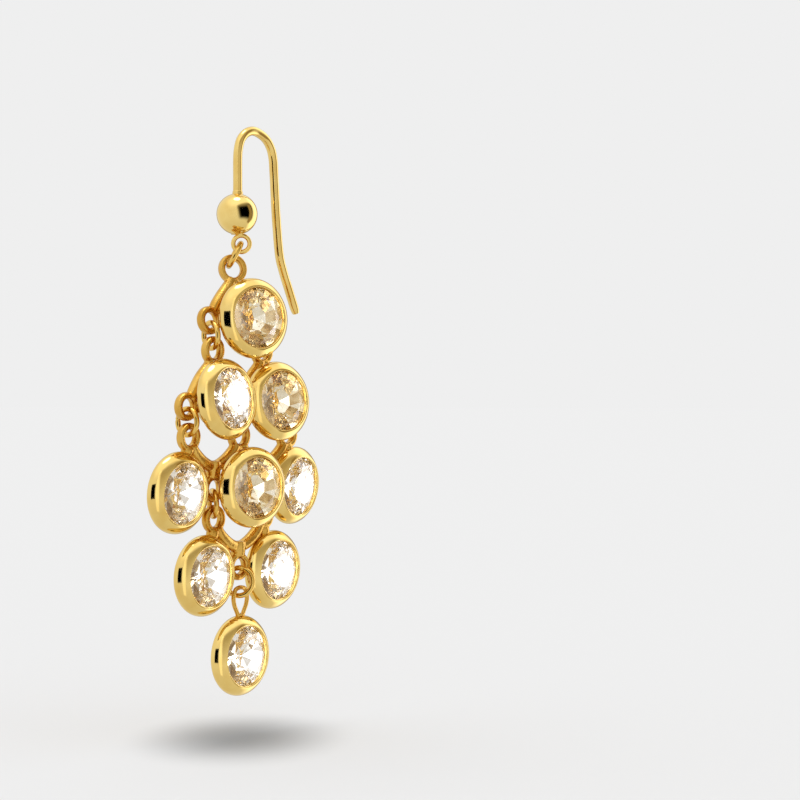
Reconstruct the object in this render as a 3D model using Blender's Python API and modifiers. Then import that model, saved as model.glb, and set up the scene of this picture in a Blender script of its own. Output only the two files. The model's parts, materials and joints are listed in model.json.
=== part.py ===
"""Chandelier drop earring in yellow gold with nine round clear stones.

The earring hangs from the inside of its hook's crest, which is the origin.
+Z is up and the stones face -Y. Lengths are in metres, written as shares of MM.
"""
import bpy
import bmesh
from math import cos, pi, radians, sin
from mathutils import Euler, Matrix, Vector

MM = 0.001

# Ear hook
HOOK_WIRE_R = 0.44 * MM
HOOK_REACH = 8.65 * MM
HOOK_DROP = 17.55 * MM
HOOK_LEG_X = -2.15 * MM
BALL_R = 1.98 * MM
BALL_Z = -7.83 * MM
COLLAR_R = 0.50 * MM
COLLAR_H = 0.55 * MM
LOOP_WIRE_R = 0.22 * MM
LOOP_R = 0.79 * MM
LOOP_ROOT_R = 0.36 * MM
LOOP_TURN = -45.0

# The drop hangs from the loop's lowest point
HANG_X = -2.00 * MM
HANG_Y = -0.36 * MM
LOOP_Z = -10.70 * MM

# Eyes that the jump rings run through
EYE_R = 1.00 * MM
TOP_EYE_R = 1.10 * MM
TOP_EYE_WALL = 0.24 * MM
TOP_EYE_TURN = -20.0
TOP_EYE_UP = 0.02 * MM
EYE_WALL = 0.24 * MM
EYE_DEPTH = 0.38 * MM

# Jump rings
LINK_WIRE_R = 0.26 * MM
LINK_R = 1.22 * MM
TOP_LINK_WIRE_R = 0.27 * MM
TOP_LINK_R = 1.24 * MM
TOP_LINK_TURN = 48.3
TOP_LINK_TIP = 27.8
LAST_LINK_R = 1.34 * MM
# Turn of each lower ring's plane about the upright
LINK_TURNS = {"1a": -14.0, "1b": -8.0, "2a": 0.0, "2b": -10.0, "2c": 0.0, "3a": -31.0,
              "3b": -8.0, "4a": 30.0}

# Bezels and stones
BEZEL_R = 3.88 * MM
BEZEL_DEPTH = 0.83 * MM
RIM_WIDTH = 1.01 * MM
LIP_COVER = 0.11 * MM
SEAT_WIDTH = 0.34 * MM
STONE_GAP = 0.11 * MM
LIP_R = BEZEL_R - RIM_WIDTH
STONE_R = LIP_R + LIP_COVER
GROOVE_R = STONE_R + STONE_GAP
POST_R = STONE_R - 0.58 * MM
POST_WALL = 0.40 * MM
TABLE_R = 0.587 * STONE_R
CROWN_H = 0.75 * MM
GIRDLE_H = 0.12 * MM
GIRDLE_AT = 0.19 * MM
PAVILION_H = 1.50 * MM
STONE_SIDES = 16

# Frames: columns of eyes stand one pitch apart
PITCH = 7.0 * MM
ARM_R = 0.48 * MM
OTHER_ARM_R = 0.51 * MM
NECK_R = 0.55 * MM
NECK_SINK = 0.29 * MM
STEM_R = 0.66 * MM
FRAME_BACK = 0.10 * MM
ARM_SET = 0.03 * MM

ROUND_STEPS = 24
EYE_STEPS = 12

# A row hangs at a height and depth, turned about the upright and tipped about its length
ROW_1 = {"y": 0.80, "z": -13.12, "turn": -4.0, "tip": -5.0, "drop": 5.10}
ROW_2 = {"y": 0.14, "z": -21.08, "turn": 0.0, "tip": 1.5, "drop": 5.34}
ROW_3 = {"y": -0.02, "z": -29.30, "turn": 0.0, "tip": 2.5, "drop": 4.92}
ROW_4 = {"y": 0.05, "z": -37.16, "turn": 0.0, "tip": 1.2, "drop": 4.72}
ROW_5 = {"y": -0.20, "z": -43.90, "turn": 1.0, "tip": 0.0, "drop": 0.0}
ROWS = {"1": ROW_1, "2": ROW_2, "3": ROW_3, "4": ROW_4, "5": ROW_5}

QUARTER = radians(90.0)


def clear_scene():
    """Empties the file of objects."""
    for old in list(bpy.data.objects):
        bpy.data.objects.remove(old, do_unlink=True)


def new_collection(name):
    """Adds a collection to the scene."""
    found = bpy.data.collections.new(name)
    bpy.context.scene.collection.children.link(found)
    return found


def material(name, colour, roughness, metallic, transmission=0.0, ior=1.5):
    """A plain Principled material."""
    mat = bpy.data.materials.new(name)
    mat.use_nodes = True
    shader = mat.node_tree.nodes["Principled BSDF"]
    shader.inputs["Base Color"].default_value = (*colour, 1.0)
    shader.inputs["Roughness"].default_value = roughness
    shader.inputs["Metallic"].default_value = metallic
    if transmission:
        shader.inputs["Transmission Weight"].default_value = transmission
        shader.inputs["IOR"].default_value = ior
    mat.diffuse_color = (*colour, 1.0)
    return mat


clear_scene()
EARRING = new_collection("chandelier_earring")
HELPERS = new_collection("cutters")
POLISHED = material("polished_gold", (0.85, 0.60, 0.22), 0.12, 1.0)
CAST = material("cast_gold", (0.78, 0.52, 0.18), 0.35, 1.0)
CRYSTAL = material("clear_stone", (0.95, 0.95, 0.97), 0.02, 0.0, 1.0, 1.9)


def add_object(name, mesh, mat):
    """Puts a mesh in the scene as a named part."""
    mesh.materials.clear()
    mesh.materials.append(mat)
    obj = bpy.data.objects.new(name, mesh)
    EARRING.objects.link(obj)
    return obj


def turned(name, profile, steps, mat):
    """Turns a closed profile of (radius, height) about an axis that points to the front."""
    mesh = bpy.data.meshes.new(name)
    count = len(profile)
    points = [(radius, 0.0, height) for radius, height in profile]
    edges = [(i, (i + 1) % count) for i in range(count)]
    mesh.from_pydata(points, edges, [])
    obj = add_object(name, mesh, mat)
    screw = obj.modifiers.new("Screw", "SCREW")
    screw.steps = steps
    screw.render_steps = steps
    screw.use_merge_vertices = True
    screw.merge_threshold = 0.000001
    screw.use_smooth_shade = True
    obj.rotation_euler = Euler((QUARTER, 0.0, 0.0))
    return obj


def wire(name, points, radius, mat):
    """A round wire with capped ends along a line of points, as a mesh."""
    curve = bpy.data.curves.new(name, "CURVE")
    curve.dimensions = "3D"
    curve.bevel_depth = radius
    curve.bevel_resolution = 2
    curve.use_fill_caps = True
    line = curve.splines.new("POLY")
    line.points.add(len(points) - 1)
    for at, place in zip(line.points, points):
        at.co = (*place, 1.0)
    carrier = bpy.data.objects.new(name + "_path", curve)
    EARRING.objects.link(carrier)
    bpy.context.view_layer.update()
    shown = carrier.evaluated_get(bpy.context.evaluated_depsgraph_get())
    mesh = bpy.data.meshes.new_from_object(shown)
    bpy.data.objects.remove(carrier, do_unlink=True)
    bpy.data.curves.remove(curve)
    shape = bmesh.new()
    shape.from_mesh(mesh)
    bmesh.ops.remove_doubles(shape, verts=shape.verts, dist=0.000001)
    shape.to_mesh(mesh)
    shape.free()
    mesh.shade_smooth()
    mesh.set_sharp_from_angle(angle=radians(50.0))
    return add_object(name, mesh, mat)


def ring(name, radius, wire_radius, sides, wire_sides, mat):
    """A closed ring of round wire, lying flat about +Z."""
    bpy.ops.mesh.primitive_torus_add(major_segments=sides, minor_segments=wire_sides,
                                     major_radius=radius, minor_radius=wire_radius)
    obj = bpy.context.object
    mesh = obj.data
    bpy.data.objects.remove(obj, do_unlink=True)
    mesh.name = name
    mesh.shade_smooth()
    return add_object(name, mesh, mat)


def solder(base, pieces):
    """Unites pieces with a base object, and keeps them as hidden helpers under it."""
    for piece in pieces:
        union = base.modifiers.new("solder " + piece.name, "BOOLEAN")
        union.operation = "UNION"
        union.solver = "EXACT"
        union.object = piece
        piece.hide_render = True
        piece.display_type = "WIRE"
        EARRING.objects.unlink(piece)
        HELPERS.objects.link(piece)
        piece.parent = base
        piece.matrix_parent_inverse = base.matrix_world.inverted()
    return base


def spline_through(points, per_span):
    """Points on a smooth curve through the given ones."""
    ends = [points[0] * 2 - points[1]] + points + [points[-1] * 2 - points[-2]]
    found = []
    for i in range(1, len(ends) - 2):
        a, b, c, d = ends[i - 1:i + 3]
        for step in range(per_span):
            t = step / per_span
            found.append(0.5 * (2 * b + (c - a) * t + (2 * a - 5 * b + 4 * c - d) * t * t
                                + (3 * b - a - 3 * c + d) * t * t * t))
    found.append(points[-1])
    return found


def upright(turn):
    """Rotation that stands a flat ring up, its face turned about +Z."""
    return Matrix.Rotation(radians(turn), 4, "Z") @ Matrix.Rotation(QUARTER, 4, "X")


# The hook's line, as shares of its reach to the back and of its drop from the crest
HOOK_LINE = (
    (0.000, 0.375), (0.000, 0.280), (0.000, 0.170), (0.012, 0.112), (0.050, 0.060),
    (0.130, 0.020), (0.240, 0.000), (0.355, 0.007), (0.480, 0.036), (0.563, 0.086),
    (0.600, 0.145), (0.612, 0.205), (0.628, 0.310), (0.645, 0.420), (0.668, 0.530),
    (0.696, 0.640), (0.722, 0.702), (0.766, 0.758), (0.816, 0.813), (0.873, 0.870),
    (0.931, 0.930), (1.000, 1.000),
)


def ear_hook():
    """Hook wire, ball and loop, soldered into one piece."""
    crest = HOOK_WIRE_R
    line = [Vector((HOOK_LEG_X + across * HOOK_REACH, 0.0, crest - down * HOOK_DROP))
            for across, down in HOOK_LINE]
    hook = wire("ear_hook", spline_through(line, 1), HOOK_WIRE_R, POLISHED)
    bpy.ops.mesh.primitive_uv_sphere_add(segments=20, ring_count=12, radius=BALL_R,
                                         location=(HOOK_LEG_X - 0.09 * MM, 0.0, BALL_Z))
    sphere = bpy.context.object
    sphere.name = "hook_ball"
    sphere.data.shade_smooth()
    sphere.data.materials.append(POLISHED)
    for owner in list(sphere.users_collection):
        owner.objects.unlink(sphere)
    EARRING.objects.link(sphere)
    top = BALL_Z + BALL_R
    bpy.ops.mesh.primitive_cylinder_add(vertices=14, radius=COLLAR_R, depth=COLLAR_H,
                                        location=(HOOK_LEG_X + 0.01 * MM, 0.003 * MM, top))
    collar = bpy.context.object
    collar.name = "hook_collar"
    collar.data.materials.append(POLISHED)
    for owner in list(collar.users_collection):
        owner.objects.unlink(collar)
    EARRING.objects.link(collar)
    loop = ring("hook_loop", LOOP_R, LOOP_WIRE_R, 18, 8, POLISHED)
    loop.matrix_world = Matrix.Translation((HANG_X, HANG_Y, LOOP_Z)) @ upright(LOOP_TURN)
    stub = wire("hook_loop_root", [Vector((HANG_X, HANG_Y, LOOP_Z + LOOP_R)),
                                   Vector((HANG_X - 0.1 * MM, HANG_Y * 0.5, BALL_Z - 0.8 * BALL_R))],
                LOOP_ROOT_R, POLISHED)
    bpy.context.view_layer.update()
    solder(hook, [sphere, collar, loop, stub])
    return hook


def row_place(row):
    """Where a row hangs: the middle of its top eyes."""
    return (Matrix.Translation((HANG_X, row["y"] * MM, row["z"] * MM))
            @ Matrix.Rotation(radians(row["turn"]), 4, "Z")
            @ Matrix.Rotation(radians(row["tip"]), 4, "X"))


def eye(name, x, z, radius=EYE_R, wall=EYE_WALL, turn=0.0):
    """A thick flat eye with rounded walls."""
    profile = []
    for i in range(6):
        angle = radians(60.0 - 60.0 * i)
        profile.append((radius + wall * cos(angle), EYE_DEPTH * 1.1 * sin(angle)))
    obj = turned(name, profile, EYE_STEPS, CAST)
    obj.matrix_world = Matrix.Translation((x, 0.0, z)) @ upright(turn)
    return obj


def bezel(name, place):
    """A polished round rim with an inner seat, its middle set forward of the frame."""
    forward = place["forward"] * MM
    back = -max(BEZEL_DEPTH, forward - FRAME_BACK)
    profile = [
        (LIP_R, 0.62 * BEZEL_DEPTH), (LIP_R + 0.09 * MM, 0.92 * BEZEL_DEPTH),
        (0.85 * BEZEL_R, 0.69 * BEZEL_DEPTH), (0.93 * BEZEL_R, 0.32 * BEZEL_DEPTH),
        (0.985 * BEZEL_R, -0.10 * BEZEL_DEPTH), (BEZEL_R, -0.56 * BEZEL_DEPTH),
        (0.93 * BEZEL_R, -BEZEL_DEPTH),
    ]
    seat_low = GIRDLE_AT - 0.31 * MM
    if back < -BEZEL_DEPTH:
        profile += [(POST_R, -1.03 * BEZEL_DEPTH), (POST_R, back), (POST_R - POST_WALL, back),
                    (POST_R - POST_WALL, -0.90 * BEZEL_DEPTH), (STONE_R - 0.35 * MM, -0.55 * BEZEL_DEPTH)]
    else:
        profile.append((GROOVE_R - SEAT_WIDTH, back))
    profile += [
        (GROOVE_R - SEAT_WIDTH, seat_low), (GROOVE_R, GIRDLE_AT - 0.14 * MM),
        (GROOVE_R, GIRDLE_AT + 0.23 * MM),
    ]
    obj = turned(name, profile, ROUND_STEPS, POLISHED)
    obj.matrix_world = bezel_place(place)
    return obj


def bezel_place(place):
    """Where a bezel sits on its row: turned about the upright and tipped, facing the front."""
    return (Matrix.Translation((place["x"] * MM, -place["forward"] * MM, place["z"] * MM))
            @ Matrix.Rotation(radians(place["turn"]), 4, "Z")
            @ Matrix.Rotation(radians(place["tip"]), 4, "X") @ upright(0.0))


def arm(name, points, radius):
    """A cast arm of the frame through points given as (across, up)."""
    line = [Vector((x, ARM_SET, z)) for x, z in points]
    return wire(name, spline_through(line, 2), radius, CAST)


def place_row(name, row, pieces):
    """Solders a row's pieces into one solid, hung in its place."""
    base = pieces[0]
    base.name = name
    base.data.name = name
    seat = row_place(row)
    for piece in pieces:
        bpy.context.view_layer.update()
        piece.matrix_world = seat @ piece.matrix_world
    bpy.context.view_layer.update()
    solder(base, pieces[1:])
    return base


# Where each row's eyes and bezels sit: across from the row's middle, and down from its top eyes
HALF = PITCH / 2
BEZELS = {
    "1": {"x": 0.20, "z": -5.05, "forward": 2.55, "turn": -8.7, "tip": 2.4},
    "2a": {"x": -3.68, "z": -4.55, "forward": 2.35, "turn": 2.5, "tip": -7.5},
    "2b": {"x": 3.72, "z": -4.75, "forward": 2.30, "turn": -7.6, "tip": -5.5},
    "3a": {"x": -8.22, "z": -5.20, "forward": 0.35, "turn": 1.0, "tip": 1.6},
    "3b": {"x": -0.60, "z": -4.75, "forward": 2.75, "turn": -9.5, "tip": -2.5},
    "3c": {"x": 8.13, "z": -5.05, "forward": 0.45, "turn": 6.0, "tip": 2.5},
    "4a": {"x": -4.72, "z": -5.32, "forward": 0.37, "turn": 0.0, "tip": 1.0},
    "4b": {"x": 5.05, "z": -5.38, "forward": 0.37, "turn": 2.0, "tip": 0.5},
    "5": {"x": 0.0, "z": -6.60, "forward": 0.27, "turn": 0.0, "tip": 0.0},
}


def peak(name, x, drop):
    """Two arms that run down from one eye to the two eyes below it."""
    arms = []
    for side, label, thick in ((-1, "left", ARM_R), (1, "right", OTHER_ARM_R)):
        foot = x + side * HALF
        arms.append(arm(name + "_" + label,
                        [(x + side * 0.22 * MM, -0.98 * MM), (x + side * 0.66 * MM, -1.60 * MM),
                         (x + side * 1.68 * MM, -2.66 * MM), (x + side * 2.54 * MM, -drop + 1.45 * MM),
                         (foot - side * 0.58 * MM, -drop + 0.76 * MM)], thick))
    return arms


def valley(name, x, drop):
    """Two arms that run together from two eyes to the one eye below them."""
    pieces = []
    for side, label, thick in ((-1, "left", ARM_R), (1, "right", OTHER_ARM_R)):
        head = x + side * HALF
        pieces.append(arm(name + "_" + label,
                          [(head - side * 0.45 * MM, -0.85 * MM), (head - side * 0.90 * MM, -1.48 * MM),
                           (head - side * 1.75 * MM, -2.20 * MM), (head - side * 2.65 * MM, -2.66 * MM),
                           (x - side * 0.12 * MM, -2.94 * MM - side * 0.04 * MM)], thick))
    pieces.append(arm(name + "_stem", [(x, -2.30 * MM), (x, -3.00 * MM), (x, -drop + 0.95 * MM)], STEM_R))
    return pieces


def neck(name, x, seat):
    """A short neck from a top eye down into the rim of the bezel under it."""
    rim = BEZELS[seat]["z"] * MM + BEZEL_R
    lean = (BEZELS[seat]["x"] * MM - x) * 0.2
    return arm(name, [(x, -1.05 * MM), (x + lean, rim - NECK_SINK)], NECK_R)


def row_1():
    """One bezel in front of a frame with three eyes."""
    drop = ROW_1["drop"] * MM
    pieces = peak("row_1_arm", 0.0, drop)
    pieces.append(arm("row_1_neck", [(0.0, TOP_EYE_UP - 1.05 * MM), (0.0, -1.60 * MM)], NECK_R))
    pieces.append(eye("row_1_top_eye", 0.0, TOP_EYE_UP, TOP_EYE_R, TOP_EYE_WALL, TOP_EYE_TURN))
    pieces += [eye("row_1_eye_a", -HALF, -drop), eye("row_1_eye_b", HALF, -drop)]
    pieces.append(bezel("row_1_bezel", BEZELS["1"]))
    return place_row("row_1", ROW_1, pieces)


def row_2():
    """Two bezels in front of a frame with two top eyes and three bottom eyes."""
    drop = ROW_2["drop"] * MM
    pieces = peak("row_2_arm_a", -HALF, drop) + peak("row_2_arm_b", HALF, drop)
    pieces += [eye("row_2_top_eye_a", -HALF, 0.0), eye("row_2_top_eye_b", HALF, 0.0)]
    pieces += [eye("row_2_eye_" + label, x, -drop)
               for label, x in (("a", -PITCH), ("b", 0.0), ("c", PITCH))]
    pieces += [bezel("row_2_bezel_" + label, BEZELS["2" + label]) for label in "ab"]
    return place_row("row_2", ROW_2, pieces)


def row_3():
    """Three bezels on a frame with three top eyes and two bottom eyes."""
    drop = ROW_3["drop"] * MM
    pieces = valley("row_3_arm_a", -HALF, drop) + valley("row_3_arm_b", HALF, drop)
    pieces += [eye("row_3_top_eye_" + label, x, 0.0)
               for label, x in (("a", -PITCH), ("b", 0.0), ("c", PITCH))]
    pieces += [eye("row_3_eye_a", -HALF, -drop), eye("row_3_eye_b", HALF, -drop)]
    pieces += [bezel("row_3_bezel_" + label, BEZELS["3" + label]) for label in "abc"]
    pieces += [neck("row_3_neck_a", -PITCH, "3a"), neck("row_3_neck_c", PITCH, "3c")]
    return place_row("row_3", ROW_3, pieces)


def row_4():
    """Two bezels on a frame with two top eyes and one bottom eye."""
    drop = ROW_4["drop"] * MM
    pieces = valley("row_4_arm", 0.0, drop)
    pieces += [eye("row_4_top_eye_a", -HALF, 0.0), eye("row_4_top_eye_b", HALF, 0.0),
               eye("row_4_eye", 0.0, -drop)]
    pieces += [bezel("row_4_bezel_" + label, BEZELS["4" + label]) for label in "ab"]
    pieces += [neck("row_4_neck_a", -HALF, "4a"), neck("row_4_neck_b", HALF, "4b")]
    return place_row("row_4", ROW_4, pieces)


def row_5():
    """The bottom bezel under its teardrop bail."""
    rim_top = BEZELS["5"]["z"] * MM + BEZEL_R
    side = [Vector((across * MM, 0.0, up * rim_top)) for across, up in
            ((0.30, 1.04), (0.48, 0.88), (0.86, 0.62), (0.98, 0.33), (0.66, 0.07), (0.0, 0.0))]
    loop = spline_through(side, 3)
    loop += [Vector((-at.x, 0.0, at.z)) for at in reversed(loop[:-1])]
    bail = wire("row_5_bail", loop, LOOP_WIRE_R, POLISHED)
    return place_row("row_5", ROW_5, [bezel("row_5_bezel", BEZELS["5"]), bail])


def stone(name, row, place):
    """A round cut stone: flat table, crown facets, thin girdle, pointed pavilion."""
    shape = bmesh.new()
    top = GIRDLE_AT + GIRDLE_H
    for i in range(8):
        angle = 2 * pi * (i + 0.5) / 8
        shape.verts.new((TABLE_R * cos(angle), TABLE_R * sin(angle), top + CROWN_H))
    for i in range(STONE_SIDES):
        angle = 2 * pi * i / STONE_SIDES
        across, up = STONE_R * cos(angle), STONE_R * sin(angle)
        shape.verts.new((across, up, top))
        shape.verts.new((across, up, GIRDLE_AT))
    shape.verts.new((0.0, 0.0, GIRDLE_AT - PAVILION_H))
    bmesh.ops.convex_hull(shape, input=shape.verts)
    bmesh.ops.dissolve_limit(shape, angle_limit=radians(1.0), verts=shape.verts, edges=shape.edges)
    mesh = bpy.data.meshes.new(name)
    shape.to_mesh(mesh)
    shape.free()
    obj = add_object(name, mesh, CRYSTAL)
    obj.matrix_world = row_place(row) @ bezel_place(place)
    return obj


def at_row(row, x, z):
    """A point of a row's frame in the world."""
    return row_place(row) @ Vector((x, 0.0, z))


def jump_ring(name, upper, lower, turn, radius, wire_radius):
    """A jump ring through an upper and a lower eye, its plane turned about the upright."""
    down = (lower - upper).normalized()
    level = Vector((-sin(radians(turn)), cos(radians(turn)), 0.0))
    across = down.cross(level).normalized()
    level = across.cross(down)
    obj = ring(name, radius, wire_radius, 16, 6, POLISHED)
    turn_to = Matrix((level, down, level.cross(down))).transposed().to_4x4()
    obj.matrix_world = Matrix.Translation((upper + lower) / 2) @ turn_to
    return obj


def link(label, upper, lower, radius=LINK_R):
    """A jump ring between two rows, turned as its place leaves room."""
    jump_ring("link_" + label, upper, lower, LINK_TURNS[label], radius, LINK_WIRE_R)


def links():
    """All the jump rings below the top one."""
    drop = {1: ROW_1["drop"] * MM, 2: ROW_2["drop"] * MM, 3: ROW_3["drop"] * MM, 4: ROW_4["drop"] * MM}
    for label, x in (("a", -HALF), ("b", HALF)):
        link("1" + label, at_row(ROW_1, x, -drop[1]), at_row(ROW_2, x, 0.0))
    for label, x in (("a", -PITCH), ("b", 0.0), ("c", PITCH)):
        link("2" + label, at_row(ROW_2, x, -drop[2]), at_row(ROW_3, x, 0.0))
    for label, x in (("a", -HALF), ("b", HALF)):
        link("3" + label, at_row(ROW_3, x, -drop[3]), at_row(ROW_4, x, 0.0))
    eye_at = at_row(ROW_4, 0.0, -drop[4])
    bail_at = at_row(ROW_5, 0.0, 0.0)
    hole = EYE_R - EYE_WALL
    top = eye_at - Vector((0.0, 0.0, hole - LINK_WIRE_R - 0.08 * MM))
    low = bail_at - Vector((0.0, 0.0, LOOP_WIRE_R + LINK_WIRE_R + 0.08 * MM))
    link("4a", top, low, LAST_LINK_R)


def top_link():
    """The jump ring on the hook's loop, leaning back to the first row's eye."""
    obj = ring("top_link", TOP_LINK_R, TOP_LINK_WIRE_R, 16, 6, POLISHED)
    middle = Matrix.Translation((HANG_X - 0.05 * MM, HANG_Y + 0.82 * MM, LOOP_Z - 1.03 * MM))
    obj.matrix_world = (middle @ Matrix.Rotation(radians(TOP_LINK_TURN), 4, "Z")
                        @ Matrix.Rotation(radians(TOP_LINK_TIP), 4, "X") @ upright(0.0))


def hang_drop():
    """Hangs every piece below the hook from an empty on the loop's lowest point."""
    hinge = bpy.data.objects.new("drop_hinge", None)
    hinge.empty_display_size = LOOP_R
    hinge.location = (HANG_X, HANG_Y, LOOP_Z - LOOP_R)
    pieces = [obj for obj in EARRING.objects if obj.name != "ear_hook"]
    EARRING.objects.link(hinge)
    bpy.context.view_layer.update()
    for piece in pieces:
        piece.parent = hinge
        piece.matrix_parent_inverse = hinge.matrix_world.inverted()


ear_hook()
top_link()
row_1()
row_2()
row_3()
row_4()
row_5()
links()
for SEAT, PLACE in BEZELS.items():
    stone("stone_" + SEAT, ROWS[SEAT[0]], PLACE)
hang_drop()
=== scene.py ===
"""Looks of a gold chandelier earring with nine clear stones: metal, stones, light and camera."""
import json
import bpy
import bmesh
from math import atan2, cos, pi, radians, sin
from mathutils import Matrix, Vector

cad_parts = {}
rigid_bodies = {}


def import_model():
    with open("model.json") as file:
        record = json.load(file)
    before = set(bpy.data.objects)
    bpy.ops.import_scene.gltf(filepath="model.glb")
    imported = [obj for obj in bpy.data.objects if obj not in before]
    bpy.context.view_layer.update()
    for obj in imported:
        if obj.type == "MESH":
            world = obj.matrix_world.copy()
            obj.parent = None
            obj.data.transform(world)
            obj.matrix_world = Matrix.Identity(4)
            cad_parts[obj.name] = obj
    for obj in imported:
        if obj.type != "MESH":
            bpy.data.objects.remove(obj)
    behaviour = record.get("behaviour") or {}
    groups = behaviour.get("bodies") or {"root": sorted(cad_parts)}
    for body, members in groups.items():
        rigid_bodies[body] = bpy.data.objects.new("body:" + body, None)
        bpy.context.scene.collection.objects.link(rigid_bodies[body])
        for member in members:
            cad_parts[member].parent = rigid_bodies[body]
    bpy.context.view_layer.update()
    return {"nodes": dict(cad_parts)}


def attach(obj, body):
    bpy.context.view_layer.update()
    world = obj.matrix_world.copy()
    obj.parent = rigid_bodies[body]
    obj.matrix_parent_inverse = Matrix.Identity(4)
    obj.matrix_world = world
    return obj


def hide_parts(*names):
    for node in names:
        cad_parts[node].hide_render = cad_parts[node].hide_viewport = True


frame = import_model()

MM = 0.001
QUARTER = radians(90.0)
UP = Vector((0.0, 0.0, 1.0))

# Ear hook
HOOK_WIRE_R = 0.44 * MM
HOOK_REACH = 8.65 * MM
HOOK_DROP = 17.55 * MM
HOOK_LEG_X = -2.15 * MM
BALL_R = 1.98 * MM
BALL_Z = -7.83 * MM
BALL_OFF = 0.09 * MM
BALL_SIDES = 72
BALL_RINGS = 40
COLLAR_R = 0.50 * MM
COLLAR_SIDES = 32
# height above the ball's top in mm, and share of the collar's radius
COLLAR_LINE = ((-0.30, 1.18), (-0.12, 1.08), (0.0, 1.02), (0.12, 1.0), (0.22, 0.97), (0.27, 0.90))
LOOP_WIRE_R = 0.22 * MM
LOOP_R = 0.79 * MM
LOOP_ROOT_R = 0.36 * MM
LOOP_TURN = -45.0
HANG = Vector((-2.00 * MM, -0.36 * MM, -10.70 * MM))
LOOP_STEPS = 48
# the root runs from the loop (share 0) to the ball (share 1) and past its skin: share, share of LOOP_ROOT_R
ROOT_LINE = ((0.0, 0.75), (0.25, 0.88), (0.5, 1.02), (0.75, 1.3), (1.0, 1.75), (1.3, 2.3))
ROOT_OFF = 0.10 * MM
# share of the ball's radius below its middle
ROOT_TOP = 0.86
ROOT_SIDES = 24
# middle line of the wire: shares of HOOK_REACH across and of HOOK_DROP down
HOOK_LINE = (
    (0.000, 0.375), (0.000, 0.280), (0.000, 0.170), (0.012, 0.112), (0.050, 0.060),
    (0.130, 0.020), (0.240, 0.000), (0.355, 0.007), (0.480, 0.036), (0.563, 0.086),
    (0.600, 0.145), (0.612, 0.205), (0.628, 0.310), (0.645, 0.420), (0.668, 0.530),
    (0.696, 0.640), (0.722, 0.702), (0.766, 0.758), (0.816, 0.813), (0.873, 0.870),
    (0.931, 0.930), (1.000, 1.000),
)
HOOK_STEPS = 9
# the crest is the path's point at the seventh row of HOOK_LINE
CREST = 6 * HOOK_STEPS
# shares of the wire where one run ends inside the other
CREST_FADE = (0.97, 0.985, 0.995)
# the last points of the tail shrink to this share of the wire
TAIL_STEPS = 6
TAIL_END = 0.75

# Frames, eyes, bezels and stones
EYE_R = 1.06 * MM
TOP_EYE_R = 1.14 * MM
TOP_EYE_WALL = 0.31 * MM
TOP_EYE_TURN = -20.0
TOP_EYE_UP = 0.02 * MM
EYE_WALL = 0.32 * MM
EYE_DEPTH = 0.42 * MM
EYE_STEPS = 56
EYE_WALL_STEPS = 16
# under 1 squares the eye's section: flatter faces, soft corners
EYE_ROUND = 0.7
BEZEL_R = 3.88 * MM
BEZEL_DEPTH = 0.83 * MM
LIP_R = BEZEL_R - 1.01 * MM
STONE_R = LIP_R + 0.11 * MM
SEAT_R = STONE_R - 0.23 * MM
GROOVE_R = STONE_R + 0.05 * MM
POST_R = STONE_R - 0.58 * MM
POST_WALL = 0.40 * MM
# the rim's outline from lip to back: radius, and share of BEZEL_DEPTH forward
RIM_LINE = (
    (LIP_R - 0.02 * MM, 0.50), (LIP_R, 0.72), (LIP_R + 0.13 * MM, 0.90), (0.84 * BEZEL_R, 0.74),
    (0.93 * BEZEL_R, 0.33), (0.985 * BEZEL_R, -0.08), (BEZEL_R, -0.48), (0.975 * BEZEL_R, -0.82),
    (0.91 * BEZEL_R, -0.99),
)
TABLE_R = 0.587 * STONE_R
CROWN_H = 0.75 * MM
GIRDLE_H = 0.12 * MM
GIRDLE_AT = 0.19 * MM
PAVILION_H = 1.50 * MM
FACETS = 8
GIRDLE_FACETS = 16
# stars meet this share of the way from table to girdle, at this share of the crown's height
STAR_OUT = 0.47
STAR_UP = 0.60
# the back's lower facets meet at this share of the radius and of the depth, and end in a small culet
BACK_R = 0.42
BACK_DOWN = 0.66
CULET_R = 0.02
# facets closer than this in angle are one flat
FLAT = radians(0.6)
# the bronze foil's painted reflection of the seat's gold lies above this share of the back's depth and past this
# share of the radius to one side
PAINTED_REFLECTION_DOWN = 0.60
PAINTED_REFLECTION_FROM = 0.2
# two in three of this many directions round the stone have the painted reflection
PAINTED_REFLECTION_TURNS = 24
PITCH = 7.0 * MM
HALF = PITCH / 2
ARM_R = 0.53 * MM
# how much thicker an arm is at its middle
ARM_SWELL = 0.14
# middle lines of the arms in mm: aside and up from the eye above, and at a peak's foot from the eye below;
# the stem's head lies below the eyes above it, and its foot over the eye below
PEAK_HEAD = ((0.22, -0.98), (0.66, -1.60), (1.68, -2.66))
PEAK_FOOT = ((0.96, 1.45), (0.58, 0.76))
VALLEY_LINE = ((0.45, -0.85), (0.90, -1.48), (1.75, -2.20), (2.65, -2.66), (3.62, -2.94))
STEM_HEAD = (-2.30, -3.00)
STEM_FOOT = 0.95
NECK_R = 0.55 * MM
NECK_TOP = -1.05 * MM
TOP_NECK_FOOT = -1.60 * MM
NECK_SINK = 0.29 * MM
# share of the way that a neck leans from its eye to the middle of its bezel
NECK_LEAN = 0.2
STEM_R = 0.66 * MM
# a hollow post ends this far in front of the frame's middle
FRAME_BACK = 0.10 * MM
# one side of the bail: mm across, and share of the way down from its head to the rim
BAIL_LINE = ((0.30, 1.04), (0.48, 0.88), (0.86, 0.62), (0.98, 0.33), (0.66, 0.07), (0.0, 0.0))
BAIL_STEPS = 8
# its stem runs between these shares of the same way
BAIL_STEM = (0.93, 1.02)
BAIL_STEM_R = 0.36 * MM
LINK_WIRE_R = 0.26 * MM
TOP_LINK_WIRE_R = 0.27 * MM
RING_STEPS = 96
RING_SIDES = 20
# share of the wire that is left at the cut of a ring
NICK = 0.80
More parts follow.
